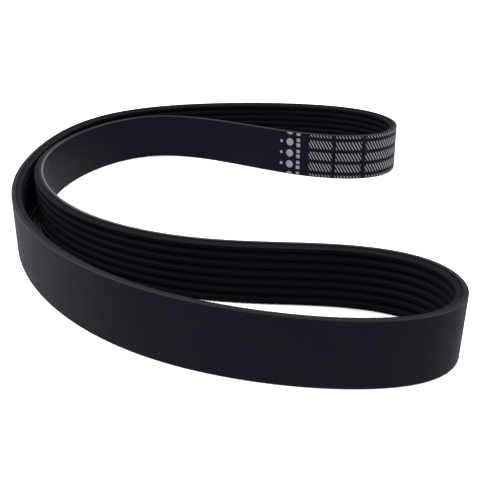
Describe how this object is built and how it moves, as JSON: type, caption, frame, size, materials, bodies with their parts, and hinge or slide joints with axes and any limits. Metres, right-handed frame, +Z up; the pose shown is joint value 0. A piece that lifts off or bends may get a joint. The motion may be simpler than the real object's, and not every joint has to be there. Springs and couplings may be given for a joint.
{
  "type": "serpentine belt",
  "caption": "Endless ribbed rubber drive belt with a smooth back, lying on its cut edge folded into a C.",
  "frame": {"origin": "middle of the footprint, on the surface that the belt lies on", "axes": "+Z up across the belt's width, +Y from the near arm to the far arm, +X out of the C's bay"},
  "size_m": [0.1994, 0.2936, 0.0249],
  "materials": {
    "rubber": "matte"
  },
  "bodies": {
    "root": {"ribbed_belt": "rubber"}
  },
  "joints": []
}
